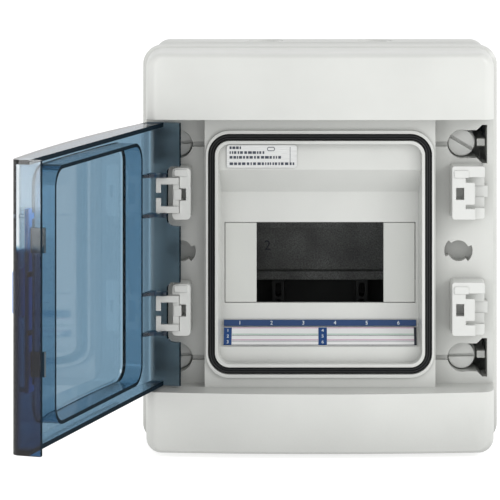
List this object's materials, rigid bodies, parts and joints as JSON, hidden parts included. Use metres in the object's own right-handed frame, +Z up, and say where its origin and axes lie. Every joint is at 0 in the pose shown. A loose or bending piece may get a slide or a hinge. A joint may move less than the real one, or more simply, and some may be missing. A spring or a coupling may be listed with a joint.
{
  "type": "breaker panel box",
  "caption": "Surface-mounted breaker panel box with a see-through hinged door, push latch, quarter-turn cover screws, device window, mounting rail and terminals.",
  "frame": {"origin": "centre of the back face that sits on the wall", "axes": "+X to the right as seen from the front, -Y out of the wall towards the person, +Z up"},
  "size_m": [0.2562, 0.2783, 0.2264],
  "materials": {
    "blanking_plate_left": "satin light grey",
    "blanking_plate_right": "satin light grey",
    "cable_plug_lower_left": "satin grey",
    "cable_plug_lower_right": "satin grey",
    "cable_plug_upper_left": "satin grey",
    "cable_plug_upper_right": "satin grey",
    "carrier_screw_lower_left": "zinc plated",
    "carrier_screw_lower_right": "zinc plated",
    "carrier_screw_upper_left": "zinc plated",
    "carrier_screw_upper_right": "zinc plated",
    "cover_screw_lower_left": "satin grey",
    "cover_screw_lower_right": "satin grey",
    "cover_screw_upper_left": "satin grey",
    "cover_screw_upper_right": "satin grey",
    "din_rail": "galvanised",
    "door": "clear smoked plastic",
    "door_seal": "matt rubber",
    "front_cover": "fine satin, light grey",
    "hinge_bracket_lower": "fine satin, light grey",
    "hinge_bracket_upper": "fine satin, light grey",
    "hinge_hook_lower": "satin grey",
    "hinge_hook_upper": "satin grey",
    "housing_seal": "matt rubber",
    "label_card": "printed card",
    "latch_bar": "satin blue",
    "latch_bracket_lower": "fine satin, light grey",
    "latch_bracket_upper": "fine satin, light grey",
    "latch_button": "satin blue",
    "latch_hook_lower": "dark smoked plastic",
    "latch_hook_upper": "dark smoked plastic",
    "number_strip": "satin blue",
    "rail_carrier": "black",
    "rail_screw_left": "zinc plated",
    "rail_screw_right": "zinc plated",
    "rating_plate": "printed foil",
    "rear_housing": "fine satin, light grey",
    "screw_seal_lower_left": "matt rubber",
    "screw_seal_lower_right": "matt rubber",
    "screw_seal_upper_left": "matt rubber",
    "screw_seal_upper_right": "matt rubber",
    "strip_screw_left": "zinc plated",
    "strip_screw_right": "zinc plated",
    "terminal_bar_earth": "machined",
    "terminal_bar_neutral": "machined",
    "terminal_base_earth": "satin green",
    "terminal_base_neutral": "satin blue",
    "terminal_screw_earth_1": "zinc plated",
    "terminal_screw_earth_2": "zinc plated",
    "terminal_screw_earth_3": "zinc plated",
    "terminal_screw_neutral_1": "zinc plated",
    "terminal_screw_neutral_2": "zinc plated",
    "terminal_screw_neutral_3": "zinc plated",
    "terminal_strip": "satin grey",
    "wall_cap_lower_left": "satin light grey",
    "wall_cap_lower_right": "satin light grey",
    "wall_cap_upper_left": "satin light grey",
    "wall_cap_upper_right": "satin light grey"
  },
  "bodies": {
    "housing": {"cable_plug_lower_left": "cable_plug_lower_left", "cable_plug_lower_right": "cable_plug_lower_right", "cable_plug_upper_left": "cable_plug_upper_left", "cable_plug_upper_right": "cable_plug_upper_right", "carrier_screw_lower_left": "carrier_screw_lower_left", "carrier_screw_lower_right": "carrier_screw_lower_right", "carrier_screw_upper_left": "carrier_screw_upper_left", "carrier_screw_upper_right": "carrier_screw_upper_right", "din_rail": "din_rail", "housing_seal": "housing_seal", "rail_carrier": "rail_carrier", "rail_screw_left": "rail_screw_left", "rail_screw_right": "rail_screw_right", "rear_housing": "rear_housing", "strip_screw_left": "strip_screw_left", "strip_screw_right": "strip_screw_right", "terminal_bar_earth": "terminal_bar_earth", "terminal_bar_neutral": "terminal_bar_neutral", "terminal_base_earth": "terminal_base_earth", "terminal_base_neutral": "terminal_base_neutral", "terminal_screw_earth_1": "terminal_screw_earth_1", "terminal_screw_earth_2": "terminal_screw_earth_2", "terminal_screw_earth_3": "terminal_screw_earth_3", "terminal_screw_neutral_1": "terminal_screw_neutral_1", "terminal_screw_neutral_2": "terminal_screw_neutral_2", "terminal_screw_neutral_3": "terminal_screw_neutral_3", "terminal_strip": "terminal_strip", "wall_cap_lower_left": "wall_cap_lower_left", "wall_cap_lower_right": "wall_cap_lower_right", "wall_cap_upper_left": "wall_cap_upper_left", "wall_cap_upper_right": "wall_cap_upper_right"},
    "cover": {"blanking_plate_left": "blanking_plate_left", "blanking_plate_right": "blanking_plate_right", "door_seal": "door_seal", "front_cover": "front_cover", "hinge_bracket_lower": "hinge_bracket_lower", "hinge_bracket_upper": "hinge_bracket_upper", "hinge_hook_lower": "hinge_hook_lower", "hinge_hook_upper": "hinge_hook_upper", "label_card": "label_card", "latch_bracket_lower": "latch_bracket_lower", "latch_bracket_upper": "latch_bracket_upper", "number_strip": "number_strip", "rating_plate": "rating_plate", "screw_seal_lower_left": "screw_seal_lower_left", "screw_seal_lower_right": "screw_seal_lower_right", "screw_seal_upper_left": "screw_seal_upper_left", "screw_seal_upper_right": "screw_seal_upper_right"},
    "door": {"door": "door"},
    "button": {"latch_button": "latch_button"},
    "latch": {"latch_bar": "latch_bar", "latch_hook_upper": "latch_hook_upper", "latch_hook_lower": "latch_hook_lower"},
    "screw_upper_left": {"cover_screw_upper_left": "cover_screw_upper_left"},
    "screw_upper_right": {"cover_screw_upper_right": "cover_screw_upper_right"},
    "screw_lower_left": {"cover_screw_lower_left": "cover_screw_lower_left"},
    "screw_lower_right": {"cover_screw_lower_right": "cover_screw_lower_right"}
  },
  "joints": [
    {"name": "cover_lift", "type": "slide", "parent": "housing", "child": "cover", "axis": [0, -1, 0], "range_m": [0, 0.07]},
    {"name": "door_hinge", "type": "hinge", "parent": "cover", "child": "door", "pos_m": [-0.0908, -0.0973, 0], "axis": [0, 0, -1], "range_deg": [-107.6, 8]},
    {"name": "latch_press", "type": "slide", "parent": "door", "child": "button", "axis": [0.9532, -0.3024, 0], "range_m": [0, 0.0025]},
    {"name": "latch_slide", "type": "slide", "parent": "door", "child": "latch", "axis": [-0.3024, -0.9532, 0], "range_m": [0, 0.00161]},
    {"name": "turn_screw_upper_left", "type": "hinge", "parent": "cover", "child": "screw_upper_left", "pos_m": [-0.0805, -0.07, 0.059], "axis": [0, -1, 0], "range_deg": [0, 90]},
    {"name": "turn_screw_upper_right", "type": "hinge", "parent": "cover", "child": "screw_upper_right", "pos_m": [0.0805, -0.07, 0.059], "axis": [0, -1, 0], "range_deg": [0, 90]},
    {"name": "turn_screw_lower_left", "type": "hinge", "parent": "cover", "child": "screw_lower_left", "pos_m": [-0.0805, -0.07, -0.062], "axis": [0, -1, 0], "range_deg": [0, 90]},
    {"name": "turn_screw_lower_right", "type": "hinge", "parent": "cover", "child": "screw_lower_right", "pos_m": [0.0805, -0.07, -0.062], "axis": [0, -1, 0], "range_deg": [0, 90]}
  ],
  "couplings": [
    {"joint": "latch_slide", "follows": "latch_press", "ratio": 0.64}
  ]
}
